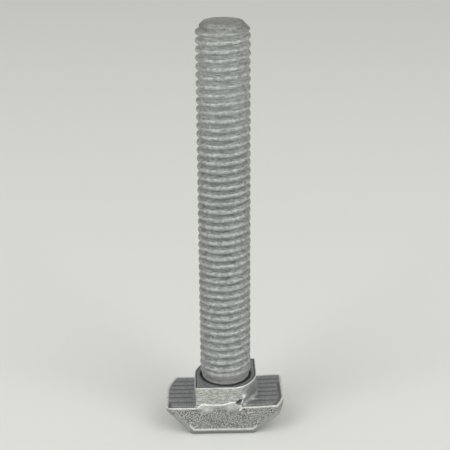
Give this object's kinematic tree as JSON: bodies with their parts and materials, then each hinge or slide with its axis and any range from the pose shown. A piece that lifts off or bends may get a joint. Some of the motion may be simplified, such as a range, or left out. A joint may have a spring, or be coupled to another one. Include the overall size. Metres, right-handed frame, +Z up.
{
  "type": "t slot bolt",
  "caption": "Threaded stud with a flat hammer head and a square-cornered turning neck, for clamping from inside a slot.",
  "frame": {"origin": "middle of the head's underside, which the bolt stands on", "axes": "+Z up along the bolt's axis to the thread end, +X along the head's wings, +Y across the head"},
  "size_m": [0.0188, 0.01, 0.0645],
  "materials": {
    "zinc_plated_steel": "matt grey zinc plating over forged and rolled steel"
  },
  "bodies": {
    "root": {"t_slot_bolt": "zinc_plated_steel"}
  },
  "joints": []
}
